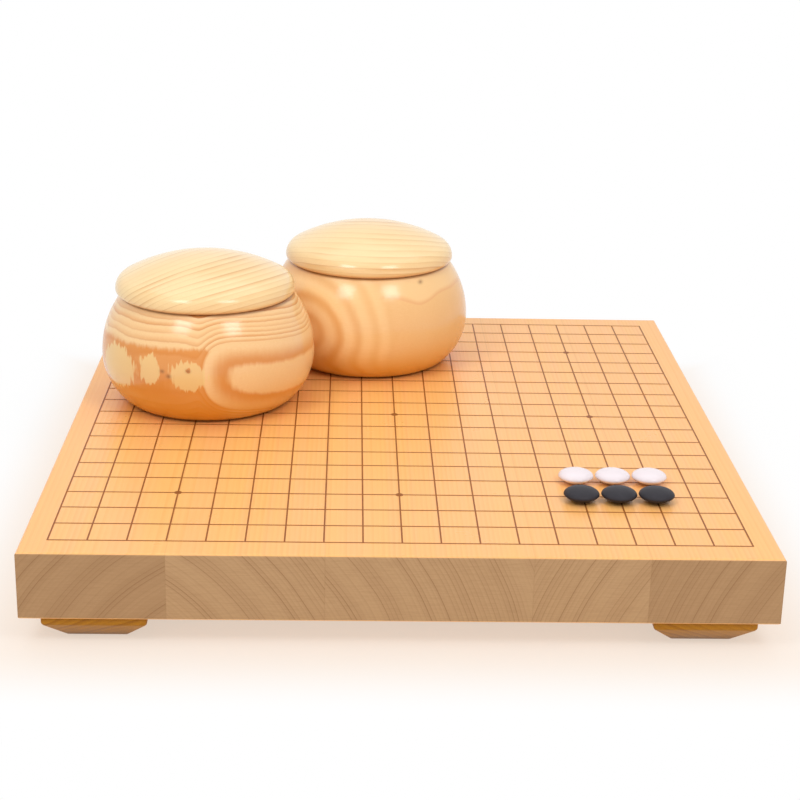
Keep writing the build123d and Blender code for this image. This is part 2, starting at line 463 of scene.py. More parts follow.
def wood_grain(
    nodes: Nodes, place: Socket, law: RingLaw, section: Socket | None = None, swell: Feed = 0.0
) -> Grain:
    """Place the growth rings in a material.

    Args:
        nodes: The material's nodes.
        place: The point, with the trunk along Z.
        law: The rings' widths and wander.
        section: The point on the trunk's end, where that isn't the same.
        swell: Rings to add, as about a knot.

    Returns:
        The wood's masks.
    """
    rings = nodes.use(
        EFFECTS.rings,
        Place=place,
        Section=section or place,
        Ring_Width=law.width,
        Core_Width=law.core_width,
        Core_Radius=law.core_radius,
        Sense=law.sense,
        Waver=law.waver,
        Waver_Scale=law.waver_scale,
        Ragged=law.ragged,
        Swell=swell,
        Turn=law.turn,
    )
    return Grain(*(rings[name] for name in ("Late", "Edge", "Strip", "Fibre")))


@dataclass(frozen=True)
class PlankWood:
    """Lacquered softwood of one plank, whose trunk ran from front to back.

    The pith is where the middle of the trunk would be, seen from the front.
    """

    name: str
    pith_x: float
    pith_z: float
    left: float
    right: float
    end_depth: float
    pale: Colour = (250, 188, 110)
    dark: Colour = (234, 158, 76)
    strip: Colour = (252, 184, 120)
    # The end colours are darker than the face partly as real end grain and partly as painted shade of
    # the front and back faces.
    shaded_end_pale: Colour = (191, 149, 103)
    shaded_end_dark: Colour = (144, 100, 56)
    dust: Colour = (240, 225, 205)
    law: RingLaw = RingLaw(0.0024, 0.004, 14.0)
    relief: Relief = Relief(0.5, 0.5, 0.4, 0.00004)
    strip_share: float = 0.55
    late_share: float = 0.27
    fibre_share: float = 0.13
    seam_share: float = 0.15
    seam_width: float = 0.0006
    dust_share: float = 0.05
    end_facing: tuple[float, float] = (0.72, 0.95)
    end_dull: float = 0.22
    end_change: float = 0.14
    end_late_share: float = 0.14
    saw: Triple = (90.0, 90.0, 1300.0)
    saw_share: float = 0.18
    saw_span: tuple[float, float] = (0.35, 0.75)
    group_span: tuple[float, float] = (0.3, 0.8)
    group_strength: tuple[float, float] = (0.1, 0.8)
    gloss: float = 0.3
    smudge: float = 0.16

    def material(self) -> bpy.types.Material:
        """Build the plank's material."""
        material, nodes, surface, place = blank_material(self.name)
        trunk = nodes.lengthways(place, (-self.pith_x, self.pith_z, 0.0))
        grain = wood_grain(nodes, trunk, self.law)
        ground = nodes.tint(linear(self.pale), grain.strip, self.strip_share, self.strip)
        lined = nodes.tint(ground, grain.late, self.late_share, self.dark)
        face = nodes.tint(lined, grain.fibre, self.fibre_share, self.dark)
        _, facing, _ = nodes.axes(nodes.add("NewGeometry").outputs["Normal"])
        # Faces that look to the front or back take the darker end colour: end grain, with painted
        # shade.
        shaded_end_faces = nodes.smooth(nodes.math("ABSOLUTE", facing), *self.end_facing)
        wood = nodes.mix(shaded_end_faces, face, self.shaded_end_colour(nodes, place, grain))
        across, _, _ = nodes.axes(place)
        glued = nodes.tint(wood, self.seam_mask(nodes, across), self.seam_share, self.shaded_end_dark)
        wear = nodes.use(EFFECTS.handling, Vector=place, Roughness=self.gloss, Smudge=self.smudge)
        dull = nodes.times(shaded_end_faces, self.end_dull)
        nodes.fill(
            surface,
            Base_Color=nodes.tint(glued, wear["Dust"], self.dust_share, self.dust),
            Roughness=nodes.math("ADD", wear["Roughness"], dull, clamp=True),
            Normal=self.relief.normal(nodes, grain, wear["Dents"]),
        )
        return material

    def shaded_end_colour(self, nodes: Nodes, place: Socket, grain: Grain) -> Socket:
        """The colour of the sawn ends, whose rings show as thin lines in loose groups; its darkness
        is partly the end grain's own and partly painted shade.

        Args:
            nodes: The material's nodes.
            place: The place in the board.
            grain: The wood's masks.

        Returns:
            The colour.
        """
        deepest = self.end_depth + self.end_change
        depth = nodes.smooth(grain.strip, 0.0, 1.0, self.end_depth, deepest)
        ground = nodes.mix(depth, linear(self.shaded_end_pale), linear(self.shaded_end_dark))
        groups = nodes.smooth(grain.strip, *self.group_span, *self.group_strength)
        lined = nodes.tint(ground, grain.edge, groups, self.shaded_end_dark)
        shaded = nodes.tint(lined, grain.late, self.end_late_share, self.shaded_end_dark)
        marks = nodes.noise(nodes.stretched(place, self.saw), 1.0, 2.0, 0.6)
        return nodes.tint(shaded, nodes.smooth(marks, *self.saw_span), self.saw_share, self.shaded_end_dark)

    def seam_mask(self, nodes: Nodes, across: Socket) -> Socket:
        """A thin line on each of the plank's two glued edges, by the place across the board."""
        edges = (nodes.minus(across, self.left), nodes.minus(self.right, across))
        return nodes.smooth(nodes.math("MINIMUM", *edges), 0.0, self.seam_width, 1.0, 0.0)


@dataclass(frozen=True)
class Swell:
    """One swelling of the rings in a turned piece, in millimetres from the piece's own middle."""

    middle: Triple
    reach: Triple
    rings: float = 1.0

    def place(self, nodes: Nodes, local: Socket) -> bpy.types.NodeOutputs:
        """Place the swelling in a material and give its outputs, Value and Core."""
        middle, reach = metres(self.middle), metres(self.reach)
        return nodes.use(EFFECTS.swelling, Vector=local, Middle=middle, Reach=reach, Rings=self.rings)


@dataclass(frozen=True)
class TurnedWood:
    """Polished pine of a bowl or a lid, cut from a block whose pith lay at a given place.

    The pith is in millimetres from the middle of the piece's underside, and the trunk is
    turned about it by angles in degrees.
    """

    name: str
    middle: Vector
    law: RingLaw
    pale: Colour
    dark: Colour
    warm: Colour
    pith: Triple = (0.0, 0.0, 0.0)
    turn: Triple = (0.0, 90.0, 0.0)
    line: Colour = (176, 104, 58)
    late_share: float = 0.9
    weakest: float = 0.75
    patch_scale: float = 20.0
    patch_span: tuple[float, float] = (0.38, 0.6)
    line_share: float = 0.25
    warm_share: float = 0.3
    fibre_share: float = 0.1
    gloss: float = 0.17
    smudge: float = 0.1
    dust: Colour = (250, 235, 215)
    dust_share: float = 0.04
    relief: Relief = Relief(0.4, 0.6, 0.5, 0.00003)
    # The underside tint is partly the wood's deeper tone and partly painted warm light bounced up
    # from the board.
    heart_and_bounce: Colour = (230, 166, 26)
    heart_and_bounce_height: float = 30.0
    heart_and_bounce_share: float = 0.0
    # Painted contact shade: a dark band just above the foot and just below the lip, where contact
    # shadows fall.
    painted_contact_shade: Colour = (120, 62, 24)
    painted_contact_shade_share: float = 0.6
    contact_shade_foot: float = 0.4
    contact_shade_foot_fade: float = 2.2
    contact_shade_lip: float = 74.7
    contact_shade_lip_fade: tuple[float, float] = (2.0, 0.6)
    rings_inside: float = 50.0
    swells: tuple[Swell, ...] = ()
    knots: tuple[Triple, ...] = ()
    knot_reach: Triple = (1.6, 3.0, 1.3)
    knot: Colour = (120, 70, 34)
    knot_share: float = 0.6

    def material(self) -> bpy.types.Material:
        """Build the turned piece's material."""
        material, nodes, surface, place = blank_material(self.name)
        local = nodes.vector("SUBTRACT", place, tuple(self.middle))
        mapping = nodes.add("Mapping", vector_type="TEXTURE")
        turn = tuple(radians(value) for value in self.turn)
        nodes.fill(mapping, Vector=local, Location=metres(self.pith), Rotation=turn)
        trunk = mapping.outputs[0]
        section = self.section(nodes, local, trunk)
        grain = wood_grain(nodes, trunk, self.law, section, self.swollen(nodes, local))
        strong = nodes.times(self.strength(nodes, local), self.late_share)
        ground = nodes.tint(linear(self.pale), grain.strip, self.warm_share, self.warm)
        banded = nodes.tint(ground, grain.late, strong, self.dark)
        lined = nodes.tint(banded, grain.edge, self.line_share, self.line)
        wood = nodes.tint(lined, grain.fibre, self.fibre_share, self.dark)
        wood = self.with_knots(nodes, local, self.toned(nodes, local, wood))
        wear = nodes.use(EFFECTS.handling, Vector=place, Roughness=self.gloss, Smudge=self.smudge)
        nodes.fill(
            surface,
            Base_Color=nodes.tint(wood, wear["Dust"], self.dust_share, self.dust),
            Roughness=wear["Roughness"],
            Normal=self.relief.normal(nodes, grain, wear["Dents"]),
        )
        return material

    def section(self, nodes: Nodes, local: Socket, trunk: Socket) -> Socket:
        """Where each point lies on the trunk's end, which for plain wood is the point itself."""
        return trunk

    def strength(self, nodes: Nodes, local: Socket) -> Feed:
        """How strongly the late wood shows at each point."""
        patches = nodes.noise(local, self.patch_scale, 1.0, 0.5)
        return nodes.smooth(patches, *self.patch_span, self.weakest, 1.0)

    def toned(self, nodes: Nodes, local: Socket, wood: Socket) -> Socket:
        """Tint the wood towards its underside, partly as its deeper tone and partly as painted warm
        light bounced from the board, and darken its lip and foot with painted contact shade.

        Args:
            nodes: The material's nodes.
            local: The place from the piece's own middle.
            wood: The colour so far.

        Returns:
            The tinted colour.
        """
        _, _, height = nodes.axes(local)
        # Towards the underside: the wood's deeper tone together with painted warm light bounced from
        # the board.
        low = nodes.smooth(height, 0.0, self.heart_and_bounce_height * MM, self.heart_and_bounce_share, 0.0)
        with_heart_and_bounce = nodes.mix(low, wood, linear(self.heart_and_bounce))
        # Painted contact shade in a band above the foot and below the lip.
        foot_end = (self.contact_shade_foot + self.contact_shade_foot_fade) * MM
        foot = nodes.smooth(height, self.contact_shade_foot * MM, foot_end, self.painted_contact_shade_share, 0.0)
        lip_span = ((self.contact_shade_lip - below) * MM for below in self.contact_shade_lip_fade)
        lip = nodes.smooth(height, *lip_span, 0.0, self.painted_contact_shade_share)
        return nodes.mix(nodes.math("MAXIMUM", foot, lip), with_heart_and_bounce, linear(self.painted_contact_shade))

    def swollen(self, nodes: Nodes, local: Socket) -> Feed:
        """Add up the swellings of the rings.

        Args:
            nodes: The material's nodes.
            local: The place from the piece's own middle.

        Returns:
            The rings to add.
        """
        total: Feed = self.rings_inside
        for each in self.swells:
            total = nodes.plus(each.place(nodes, local)["Value"], total)
        return total

    def with_knots(self, nodes: Nodes, local: Socket, wood: Socket) -> Socket:
        """Darken the wood at its pin knots.

        Args:
            nodes: The material's nodes.
            local: The place from the piece's own middle.
            wood: The colour so far.

        Returns:
            The colour with the knots in it.
        """
        for middle in self.knots:
            core = Swell(middle, self.knot_reach).place(nodes, local)["Core"]
            wood = nodes.tint(wood, core, self.knot_share, self.knot)
        return wood


@dataclass(frozen=True)
class FiguredWood(TurnedWood):
    """Pine of a bowl whose figure is drawn on its front and doesn't repeat behind."""

    front_to: float = 8.0
    behind_share: float = 0.9

    def along(self, nodes: Nodes, local: Socket) -> tuple[Socket, Socket]:
        """The place along the figure and its height.

        Args:
            nodes: The material's nodes.
            local: The place from the bowl's own middle.

        Returns:
            The way to the right, which runs on to the left behind the bowl, and the height.
        """
        x, y, z = nodes.axes(local)
        behind = nodes.math("MAXIMUM", nodes.minus(y, self.front_to * MM), 0.0)
        return nodes.minus(x, nodes.times(behind, self.behind_share)), z

    def reach(self, nodes: Nodes, local: Socket) -> Socket:
        """How far a point lies from the middle of the figure."""
        return nodes.vector("LENGTH", self.section(nodes, local, local))


@dataclass(frozen=True)
class EyeWood(FiguredWood):
    """Pine whose pith comes out through the bowl's side and draws a long eye there.

    The eye tapers towards its left end, and its rings close round that. Further left the
    wood is cut flat along the rings, so that they leave broad islands.
    """

    open_depth: float = 6.5
    tip_depth: float = 22.0
    taper: float = 14.0
    depth: float = 27.5
    depth_blend: float = 9.0
    squareness: float = 2.2
    height: float = 38.5
    fall_right: float = 0.15
    fall_left: float = 0.05
    flat: float = 5.5
    flat_span: tuple[float, float] = (-16.0, 9.0)
    stain: Colour = (224, 140, 50)
    stain_share: float = 0.8
    stain_top: tuple[float, float] = (14.5, 18.0)
    stain_front: tuple[float, float] = (-20.0, 10.0)
    stain_right: tuple[float, float] = (8.0, 26.0)
    fray: Triple = (520.0, 200.0, 70.0)
    fray_height: float = 6.0
    island_pale: Colour = (244, 208, 142)
    island_share: float = 0.85
    island_fray: float = 0.75
    island_span: tuple[float, float] = (0.36, 0.46)
    islands: tuple[Swell, ...] = ()

    def section(self, nodes: Nodes, local: Socket, trunk: Socket) -> Socket:
        """Lay the rings out round the eye.

        Args:
            nodes: The material's nodes.
            local: The place from the piece's own middle.
            trunk: The same place along the trunk, which the eye doesn't follow.

        Returns:
            How far outside the eye a point is, by its depth and its height together.
        """
        along, up = self.along(nodes, local)
        past_tip = nodes.math(
            "POWER", NATURAL_BASE, nodes.math("DIVIDE", along, -self.taper * MM)
        )
        tapered = nodes.plus(nodes.times(past_tip, self.tip_depth * MM), self.open_depth * MM)
        deep = nodes.math("SMOOTH_MIN", tapered, self.depth * MM, self.depth_blend * MM)
        flat_from, flat_to = (value * MM for value in self.flat_span)
        flat = nodes.smooth(along, flat_from, flat_to, self.flat * MM, 0.0)
        over = nodes.math("ABSOLUTE", self.over_middle(nodes, along, up))
        rise = nodes.math("MAXIMUM", nodes.minus(over, flat), 0.0)
        powers = (nodes.math("POWER", side, self.squareness) for side in (deep, rise))
        out = nodes.math("POWER", nodes.plus(*powers), 1 / self.squareness)
        return nodes.add("CombineXYZ", out).outputs[0]

    def over_middle(self, nodes: Nodes, along: Socket, up: Socket) -> Socket:
        """How high a point is over the eye's middle line, which falls away on both sides.

        Args:
            nodes: The material's nodes.
            along: The place along the eye.
            up: The point's height.

        Returns:
            The height over the middle line.
        """
        right = nodes.times(nodes.math("MAXIMUM", along, 0.0), self.fall_right)
        left = nodes.times(nodes.math("MINIMUM", along, 0.0), self.fall_left)
        return nodes.minus(nodes.minus(up, nodes.minus(left, right)), self.height * MM)

    def toned(self, nodes: Nodes, local: Socket, wood: Socket) -> Socket:
        """Tint the wood left of the eye, all but its ragged pale islands.

        Args:
            nodes: The material's nodes.
            local: The place from the piece's own middle.
            wood: The colour so far.

        Returns:
            The tinted colour.
        """
        across, back, up = nodes.axes(local)
        rag = nodes.swing(nodes.stretched(local, self.fray), 1.0, 2.0, 0.55)
        height = self.over_middle(nodes, across, up)
        frayed = nodes.plus(height, nodes.times(rag, self.fray_height * MM))
        core = self.law.core_radius
        share: Feed = nodes.smooth(self.reach(nodes, local), core - MM, core + MM)
        limits = ((frayed, self.stain_top), (back, self.stain_front), (across, self.stain_right))
        for value, (full, none) in limits:
            share = nodes.times(share, nodes.smooth(value, full * MM, none * MM, 1.0, 0.0))
        stained = nodes.tint(wood, share, self.stain_share, self.stain)
        field = nodes.times(rag, self.island_fray)
        for island in self.islands:
            field = nodes.plus(field, island.place(nodes, local)["Value"])
        inside = nodes.smooth(field, *self.island_span)
        paled = nodes.tint(stained, inside, self.island_share, self.island_pale)
        return super().toned(nodes, local, paled)


@dataclass(frozen=True)
class ArchWood(FiguredWood):
    """Pine with broad soft arches round a place on the bowl's side."""

    arch_x: float = -45.0
    arch_z: float = 36.0
    plain_from: float = 52.0
    plain_to: float = 66.0
    plain_share: float = 0.32
    line_height: float = 62.0
    line_blur: float = 0.6
    line_fade: float = 4.0
    line_strength: float = 0.45
    line_from: tuple[float, float] = (4.0, 18.0)
    line_waver: float = 3.0
    waver_scale: float = 60.0
    above_share: float = 0.5
    dip_x: float = 36.6
    dip_reach: float = 12.0
    dip_depth: float = 6.1
    no_limit: float = 1000.0

    def strength(self, nodes: Nodes, local: Socket) -> Feed:
        """The arches fade out to the right of plain_from."""
        return nodes.minus(1.0, self.plainness(nodes, local))

    def plainness(self, nodes: Nodes, local: Socket) -> Socket:
        """How far a point lies in the plain wood beyond the arches, from 0 to 1."""
        return nodes.smooth(self.reach(nodes, local), self.plain_from * MM, self.plain_to * MM)

    def section(self, nodes: Nodes, local: Socket, trunk: Socket) -> Socket:
        """Lay the rings out as arches.

        Args:
            nodes: The material's nodes.
            local: The place from the piece's own middle.
            trunk: The same place along the trunk, which the arches don't follow.

        Returns:
            The distance to the right of the arches' middle and over it.
        """
        along, up = self.along(nodes, local)
        right, over = nodes.minus(along, self.arch_x * MM), nodes.minus(up, self.arch_z * MM)
        return nodes.add("CombineXYZ", right, over).outputs[0]

    def toned(self, nodes: Nodes, local: Socket, wood: Socket) -> Socket:
        """Deepen the plain wood, and draw the one ring that dips below the knot.

        Args:
            nodes: The material's nodes.
            local: The place from the piece's own middle.
            wood: The colour so far.

        Returns:
            The tinted colour.
        """
        wood = nodes.tint(wood, self.plainness(nodes, local), self.plain_share, self.dark)
        across, _, up = nodes.axes(local)
        reach = (self.dip_reach, self.no_limit, self.no_limit)
        dip = Swell((self.dip_x, 0.0, 0.0), reach, self.dip_depth * MM).place(nodes, local)
        waver = nodes.swing(local, self.waver_scale, 2.0, 0.5)
        height = nodes.plus(nodes.plus(up, dip["Value"]), nodes.times(waver, self.line_waver * MM))
        edge, blur = self.line_height * MM, self.line_blur * MM
        line_from, line_full = (value * MM for value in self.line_from)
        there = nodes.smooth(across, line_from, line_full)
        above = nodes.times(nodes.smooth(height, edge - blur, edge + blur), there)
        fade = nodes.smooth(height, edge, edge + self.line_fade * MM, 1.0, 0.0)
        wood = nodes.tint(wood, above, self.above_share, self.pale)
        wood = nodes.tint(wood, nodes.times(above, fade), self.line_strength, self.line)
        return super().toned(nodes, local, wood)


@dataclass(frozen=True)
class FootWood:
    """Stained and varnished wood of the feet, with its grain from front to back."""

    name: str = "foot_varnish"
    pale: Colour = (184, 122, 22)
    dark: Colour = (128, 72, 6)
    law: RingLaw = RingLaw(0.0034, 0.006, 20.0)
    relief: Relief = Relief(0.5, 0.0, 1.0, 0.00005)
    pith: Triple = (0.02, -0.35, 0.0)
    late_share: float = 0.5
    fibre_share: float = 0.25
    gloss: float = 0.34
    smudge: float = 0.2
    glare: float = 0.2

    def material(self) -> bpy.types.Material:
        """Build the feet's material."""
        material, nodes, surface, place = blank_material(self.name)
        grain = wood_grain(nodes, nodes.lengthways(place, self.pith), self.law)
        wear = nodes.use(EFFECTS.handling, Vector=place, Roughness=self.gloss, Smudge=self.smudge)
        lined = nodes.tint(linear(self.pale), grain.late, self.late_share, self.dark)
        nodes.fill(
            surface,
            Base_Color=nodes.tint(lined, grain.fibre, self.fibre_share, self.dark),
            Roughness=wear["Roughness"],
            Normal=self.relief.normal(nodes, grain, wear["Dents"]),
            Specular_IOR_Level=self.glare,
        )
        return material


@dataclass(frozen=True)
class LineLacquer:
    """Dark lacquer of the playing lines, a little thin and uneven along each stroke."""

    name: str = "line_lacquer"
    dark: Colour = (142, 78, 28)
    thin: Colour = (184, 118, 58)
    thin_share: float = 0.5
    patch_scale: float = 90.0
    patch_span: tuple[float, float] = (0.42, 0.75)
    gloss: tuple[float, float] = (0.4, 0.6)
    pores: Triple = (1.0, 0.05, 1.0)
    pore_scale: float = 2400.0
    pore_depth: float = 0.00003
    glare: float = 0.2

    def material(self) -> bpy.types.Material:
        """Build the lines' material."""
        material, nodes, surface, place = blank_material(self.name)
        patchy = nodes.smooth(nodes.noise(place, self.patch_scale, 4.0, 0.6), *self.patch_span)
        pores = nodes.noise(nodes.stretched(place, self.pores), self.pore_scale, 2.0, 0.55)
        nodes.fill(
            surface,
            Base_Color=nodes.tint(linear(self.dark), patchy, self.thin_share, self.thin),
            Roughness=nodes.smooth(patchy, 0.0, 1.0, *self.gloss),
            Normal=nodes.bump(pores, self.pore_depth),
            Specular_IOR_Level=self.glare,
        )
        return material


@dataclass(frozen=True)
class StoneFinish:
    """The body colour, flecks and polish of one colour of stone."""

    name: str
    body: Colour
    fleck: Colour
    roughness: float
    fleck_share: float
    grain_depth: float
    glare: float
    smudge: float = 0.1
    grain_scale: float = 5200.0
    grain_weight: float = 0.7
    cloud_scale: float = 240.0
    cloud_weight: float = 0.3
    fleck_span: tuple[float, float] = (0.5, 0.72)

    def material(self) -> bpy.types.Material:
        """Build the stones' material."""
        material, nodes, surface, place = blank_material(self.name)
        wear = nodes.use(
            EFFECTS.handling, Vector=place, Roughness=self.roughness, Smudge=self.smudge
        )
        cloud = nodes.times(nodes.noise(place, self.cloud_scale, 3.0, 0.5), self.cloud_weight)
        grain = nodes.noise(place, self.grain_scale, 2.0, 0.6)
        speckle = nodes.plus(nodes.times(grain, self.grain_weight), cloud)
        flecks = nodes.smooth(speckle, *self.fleck_span)
        nodes.fill(
            surface,
            Base_Color=nodes.tint(linear(self.body), flecks, self.fleck_share, self.fleck),
            Roughness=wear["Roughness"],
            Normal=nodes.bump(grain, self.grain_depth),
            Specular_IOR_Level=self.glare,
        )
        return material


STONE_FINISHES = {
    StoneColour.BLACK: StoneFinish(
        "black_stone_matte", (44, 42, 48), (66, 64, 72), 0.5, 0.5, 0.00004, 0.2
    ),
    StoneColour.WHITE: StoneFinish(
        "white_stone_polish", (238, 226, 230), (226, 212, 216), 0.14, 0.4, 0.00001, 0.5
    ),
}


# ---------------------------------------------------------------- modelling helpers


def nothing_selected() -> None:
    """Deselect every object, so that an operator acts on the new piece alone."""
    if bpy.context.object and bpy.context.object.mode != "OBJECT":
        bpy.ops.object.mode_set(mode="OBJECT")
    bpy.ops.object.select_all(action="DESELECT")


def finished(
    piece: bpy.types.Object, name: str, material: bpy.types.Material, smooth_angle: float
) -> bpy.types.Object:
    """Name a new piece, bring its place into its mesh, shade it and give it its finish.

    Args:
        piece: The new object, which is active and selected.
        name: The piece's name.
        material: Its finish.
        smooth_angle: The angle in degrees below which faces shade as one.

    Returns:
        The same object.
    """
    bpy.ops.object.transform_apply(location=True, rotation=True, scale=True)
    bpy.ops.object.shade_smooth_by_angle(angle=radians(smooth_angle))
    piece.name = name
    piece.data.name = name
    piece.data.materials.clear()
    piece.data.materials.append(material)
    LOG.info("made %s with %d faces", name, len(piece.data.polygons))
    return piece


def turned(
    name: str, outline: Outline, middle: Vector, steps: int, material: bpy.types.Material
) -> bpy.types.Object:
    """Turn an outline round an upright axis, as on a lathe.

    Args:
        name: The piece's name.
        outline: Radius and height of each point from the bottom middle to the top middle,
            or all the way round to the bottom middle's inside.
        middle: Where the axis meets the outline's height 0.
        steps: How many steps the turn has.
        material: The piece's finish.

    Returns:
        The finished piece.
    """
    weld, smooth_angle = 0.000002, 32.0
    nothing_selected()
    start = middle + Vector((outline[0][0], 0.0, outline[0][1]))
    bpy.ops.mesh.primitive_plane_add(size=MM, location=start)
    piece = bpy.context.object
    bpy.ops.object.mode_set(mode="EDIT")
    bpy.ops.mesh.select_mode(type="VERT")
    bpy.ops.mesh.select_all(action="SELECT")
    bpy.ops.mesh.merge(type="CENTER")
    for (radius, height), (next_radius, next_height) in zip(outline, outline[1:]):
        step = (next_radius - radius, 0.0, next_height - height)
        bpy.ops.mesh.extrude_region_move(TRANSFORM_OT_translate={"value": step})
    bpy.ops.mesh.select_all(action="SELECT")
    bpy.ops.mesh.spin(steps=steps, angle=2 * pi, center=middle, axis=(0.0, 0.0, 1.0))
    bpy.ops.mesh.select_all(action="SELECT")
    bpy.ops.mesh.remove_doubles(threshold=weld)
    bpy.ops.mesh.normals_make_consistent(inside=False)
    bpy.ops.object.mode_set(mode="OBJECT")
    return finished(piece, name, material, smooth_angle)


def arc(middle: tuple[float, float], radius: float, start: float, end: float, steps: int) -> Outline:
    """Points on an arc about a middle, from start to end in radians above the outward way."""
    angles = (start + (end - start) * step / steps for step in range(steps + 1))
    return [(middle[0] + radius * cos(angle), middle[1] + radius * sin(angle)) for angle in angles]


def belly_arc(belly: float, belly_height: float, end: tuple[float, float], steps: int) -> Outline:
    """The arc that leaves the belly upright and runs to a rim or a base.

    Args:
        belly: The belly's radius.
        belly_height: How high the belly is.
        end: The radius and height where the arc ends.
        steps: How many steps it has.

    Returns:
        Its points from the belly to the end.
    """
    reach, rise = belly - end[0], end[1] - belly_height
    radius = (reach * reach + rise * rise) / (2 * reach)
    return arc((belly - radius, belly_height), radius, 0.0, asin(rise / radius), steps)


def dome(radius: float, height: float, shoulder: float, base: float, steps: int) -> Outline:
    """A low dome from its upright edge to its middle, as a shoulder arc and a crown arc.

    Args:
        radius: The dome's radius at its edge.
        height: Its height over the edge.
        shoulder: The radius of the shoulder arc.
        base: The height of the edge.
        steps: How many steps each arc has.

    Returns:
        Its points from the edge to the middle.
    """
    reach = radius - shoulder
    crown = (reach * reach + height * height - shoulder * shoulder) / (2 * (height - shoulder))
    centre = base + height - crown
    lean = atan2(base - centre, reach)
    edge = arc((reach, base), shoulder, 0.0, lean, steps)
    return edge[:-1] + arc((0.0, centre), crown, lean, pi / 2, steps)


def piece_middle(node: str) -> Vector:
    """The middle of a CAD node's underside."""
    low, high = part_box(node)
    return Vector(((low.x + high.x) / 2, (low.y + high.y) / 2, low.z))


def piece_size(node: str) -> tuple[float, float]:
    """The radius and the height of a CAD node that is round from above."""
    low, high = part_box(node)
    return (high.x - low.x) / 2, high.z - low.z


# ---------------------------------------------------------------- the board


@dataclass
class Board:
    """The slab's five planks and the lacquered lines on it, which keep their CAD solids.

    Each pith is where a plank's trunk had its middle, across and up, with the depth of
    the tone of the plank's sawn ends.
    """

    piths: tuple[Triple, ...] = (
        (-0.062, -0.074, 0.34),
        (-0.215, -0.072, 0.05),
        (-0.150, -0.048, 0.04),
        (0.266, -0.046, 0.05),
        (0.341, -0.046, 0.30),
    )
    dowel_finish: FootWood = FootWood("dowel_wood", (214, 180, 132), (176, 136, 88))

    def dress(self) -> None:
        """Give each plank the grain of its own tree, and the lines their lacquer."""
        for number, (pith_x, pith_z, end_depth) in enumerate(self.piths, start=1):
            node = f"board_plank_{number}"
            low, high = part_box(node)
            wood = PlankWood(f"plank_{number}_wood", pith_x, pith_z, low.x, high.x, end_depth)
            self.paint(node, wood.material())
        self.paint("grid_lines", LineLacquer().material())
        self.paint("foot_dowels", self.dowel_finish.material())

    @staticmethod
    def paint(node: str, material: bpy.types.Material) -> None:
        """Give a CAD node one finish all over.

        Args:
            node: The node's name.
            material: Its finish.
        """
        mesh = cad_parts[node].data
        mesh.materials.clear()
        mesh.materials.append(material)
        LOG.info("dressed %s", node)


@dataclass
class Feet:
    """The four low feet, each a square block with a blunt taper and softened edges."""

    corners: tuple[str, ...] = ("front_left", "front_right", "back_left", "back_right")
    band: float = 0.0045
    base_side: float = 0.034
    edge_round: float = 0.0011
    edge_steps: int = 3
    sharp_angle: float = 25.0
    smooth_angle: float = 30.0
    finish: FootWood = field(default_factory=FootWood)

    def build(self) -> None:
        """Model a foot at each corner."""
        material = self.finish.material()
        for corner in self.corners:
            piece = self.foot(corner, material)
            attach(piece, "board")
            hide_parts(f"foot_{corner}")

    def foot(self, corner: str, material: bpy.types.Material) -> bpy.types.Object:
        """Model one foot.

        Args:
            corner: Which corner it stands under.
            material: Its finish.

        Returns:
            The finished foot.
        """
        low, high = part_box(f"foot_{corner}")
        side = high.x - low.x
        middle = (low + high) / 2
        nothing_selected()
        place = (middle.x, middle.y, high.z - self.band / 2)
        bpy.ops.mesh.primitive_cube_add(size=1.0, location=place, scale=(side, side, self.band))
        piece = bpy.context.object
        bpy.ops.object.transform_apply(location=True, rotation=True, scale=True)
        bpy.ops.object.mode_set(mode="EDIT")
        bpy.ops.mesh.select_mode(type="FACE")
        bpy.ops.mesh.select_all(action="DESELECT")
        self.select_underside(piece)
        drop = low.z - (high.z - self.band)
        bpy.ops.mesh.extrude_region_move(TRANSFORM_OT_translate={"value": (0.0, 0.0, drop)})
        taper = self.base_side / side
        centre = (middle.x, middle.y, low.z)
        bpy.ops.transform.resize(value=(taper, taper, 1.0), center_override=centre)
        bpy.ops.object.mode_set(mode="OBJECT")
        bevel = piece.modifiers.new("softened_edges", "BEVEL")
        bevel.width = self.edge_round
        bevel.segments = self.edge_steps
        bevel.limit_method = "ANGLE"
        bevel.angle_limit = radians(self.sharp_angle)
        bpy.ops.object.modifier_apply(modifier=bevel.name)
        return finished(piece, f"shaped_foot_{corner}", material, self.smooth_angle)

    @staticmethod
    def select_underside(piece: bpy.types.Object) -> None:
        """Select the face that looks down.

        Args:
            piece: The object in edit mode.
        """
        straight_down = -0.9
        shape = bmesh.from_edit_mesh(piece.data)
        for face in shape.faces:
            face.select_set(face.normal.z < straight_down)
        bmesh.update_edit_mesh(piece.data)


# ---------------------------------------------------------------- bowls and lids


